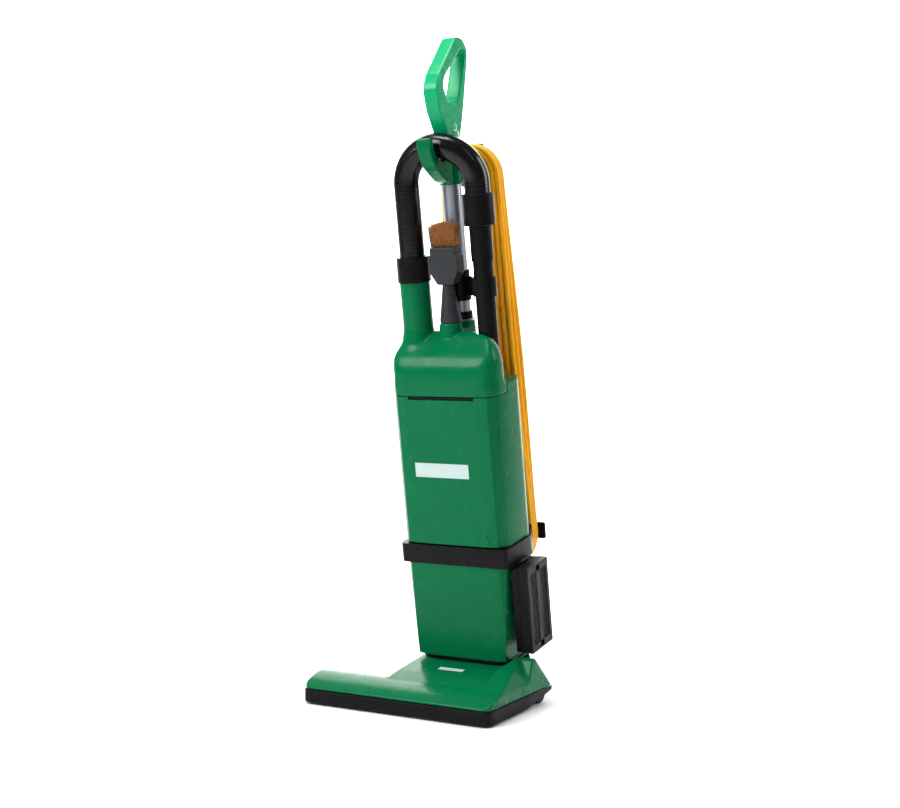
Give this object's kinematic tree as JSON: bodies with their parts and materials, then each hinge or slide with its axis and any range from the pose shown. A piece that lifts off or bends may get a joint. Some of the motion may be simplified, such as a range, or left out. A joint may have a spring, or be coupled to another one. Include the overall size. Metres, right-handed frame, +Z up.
{
  "type": "upright vacuum cleaner",
  "caption": "Commercial upright vacuum cleaner: wide brush head on wheels, leaning bag housing, on-board hose, wand and tools, and a looped handle with the cord wound behind.",
  "frame": {"origin": "middle of the foot of the bounding box, measured without the mains cord", "axes": "+Z up, -Y the way the front of the head faces, +X to the right seen from the front"},
  "size_m": [0.383, 0.3283, 1.189],
  "materials": {
    "green": "gloss",
    "black": "satin",
    "rubber": "matte",
    "tyre": "matte",
    "grey": "satin",
    "steel": "satin",
    "aluminium": "satin",
    "cord": "satin",
    "bristle": "matte",
    "white": "matte",
    "paper": "matte"
  },
  "bodies": {
    "head": {"head_chassis": "black", "head_cover": "green", "head_badge": "white", "front_bumper": "rubber", "sole_plate": "steel", "brush_motor": "aluminium", "bearing_left": "grey", "bearing_right": "grey", "axle_left": "steel", "axle_right": "steel", "drive_belt": "rubber"},
    "brush": {"brush_roll": "black", "brush_strips": "bristle"},
    "motor_shaft": {"motor_pulley": "aluminium"},
    "wheel_left": {"rear_wheel_left": "grey", "rear_tyre_left": "tyre"},
    "wheel_right": {"rear_wheel_right": "grey", "rear_tyre_right": "tyre"},
    "roller_left": {"front_roller_left": "black"},
    "roller_right": {"front_roller_right": "black"},
    "pedal": {"release_pedal": "black"},
    "tower": {"neck": "black", "motor_housing": "green", "tower_band": "black", "rear_housing": "green", "top_cap": "green", "hose_cuff": "black", "suction_motor": "aluminium", "motor_gasket": "rubber", "premotor_filter": "white", "dust_bag": "paper", "bag_collar": "paper", "filter_case": "black", "exhaust_filter": "white", "handle_tube": "aluminium", "tube_collar": "black", "handle_grip": "green", "hose_hook": "green", "upper_cord_hook": "green", "tool_clip": "black", "strain_relief": "rubber", "cord_winding": "cord", "cord_lead": "cord", "cord_tail": "cord", "cord_plug": "rubber", "hose": "rubber", "wand_tube": "black", "wand_cuff": "black"},
    "fan": {"suction_fan": "aluminium"},
    "door": {"bag_door": "green", "door_badge": "white"},
    "latch": {"door_latch": "black"},
    "filter_lid": {"filter_cover": "black"},
    "lower_hook": {"lower_cord_hook": "black"},
    "crevice": {"crevice_tool": "grey"},
    "dusting_brush": {"dusting_brush_head": "grey", "dusting_brush_bristles": "bristle"},
    "switch": {"power_switch": "black"}
  },
  "joints": [
    {"name": "tower_recline", "type": "hinge", "parent": "head", "child": "tower", "pos_m": [0.0535, 0.07672, 0.07192], "axis": [-1, 0, 0], "range_deg": [0, 78]},
    {"name": "brush_spin", "type": "hinge", "parent": "head", "child": "brush", "pos_m": [0, -0.11828, 0.0235], "axis": [1, 0, 0], "continuous": true},
    {"name": "motor_spin", "type": "hinge", "parent": "head", "child": "motor_shaft", "pos_m": [0.15, -0.00528, 0.045], "axis": [1, 0, 0], "continuous": true},
    {"name": "wheel_left_turn", "type": "hinge", "parent": "head", "child": "wheel_left", "pos_m": [-0.0675, 0.04972, 0.022], "axis": [1, 0, 0], "continuous": true},
    {"name": "wheel_right_turn", "type": "hinge", "parent": "head", "child": "wheel_right", "pos_m": [0.1745, 0.04972, 0.022], "axis": [1, 0, 0], "continuous": true},
    {"name": "roller_left_turn", "type": "hinge", "parent": "head", "child": "roller_left", "pos_m": [-0.1415, -0.04328, 0.011], "axis": [1, 0, 0], "continuous": true},
    {"name": "roller_right_turn", "type": "hinge", "parent": "head", "child": "roller_right", "pos_m": [0.1415, -0.04328, 0.011], "axis": [1, 0, 0], "continuous": true},
    {"name": "pedal_press", "type": "hinge", "parent": "head", "child": "pedal", "pos_m": [-0.0685, 0.08672, 0.024], "axis": [-1, 0, 0], "range_deg": [0, 15], "stiffness_Nm_per_rad": 0.4, "springref_deg": -8.59},
    {"name": "fan_spin", "type": "hinge", "parent": "tower", "child": "fan", "pos_m": [0.0535, 0.03356, 0.19346], "axis": [0, -0.165, 0.9863], "continuous": true},
    {"name": "door_swing", "type": "hinge", "parent": "tower", "child": "door", "pos_m": [0.0535, -0.03991, 0.2932], "axis": [1, 0, 0], "range_deg": [0, 80]},
    {"name": "latch_press", "type": "slide", "parent": "tower", "child": "latch", "axis": [0, 0.9863, 0.165], "range_m": [0, 0.003], "stiffness_N_per_m": 200, "springref_m": -0.001},
    {"name": "filter_lid_swing", "type": "hinge", "parent": "tower", "child": "filter_lid", "pos_m": [0.1725, -0.00637, 0.17157], "axis": [0, 0.165, -0.9863], "range_deg": [0, 95]},
    {"name": "cord_hook_turn", "type": "hinge", "parent": "tower", "child": "lower_hook", "pos_m": [0.0535, 0.13806, 0.29612], "axis": [0, 0.9863, 0.165], "range_deg": [0, 90]},
    {"name": "crevice_lift", "type": "slide", "parent": "tower", "child": "crevice", "axis": [0, -0.165, 0.9863], "range_m": [0, 0.04]},
    {"name": "dusting_brush_lift", "type": "slide", "parent": "crevice", "child": "dusting_brush", "axis": [0, -0.165, 0.9863], "range_m": [0, 0.02]},
    {"name": "switch_press", "type": "hinge", "parent": "tower", "child": "switch", "pos_m": [0.0535, -0.03605, 1.05783], "axis": [1, 0, 0], "range_deg": [0, 10]}
  ],
  "couplings": [
    {"joint": "motor_spin", "follows": "brush_spin", "ratio": 1}
  ]
}
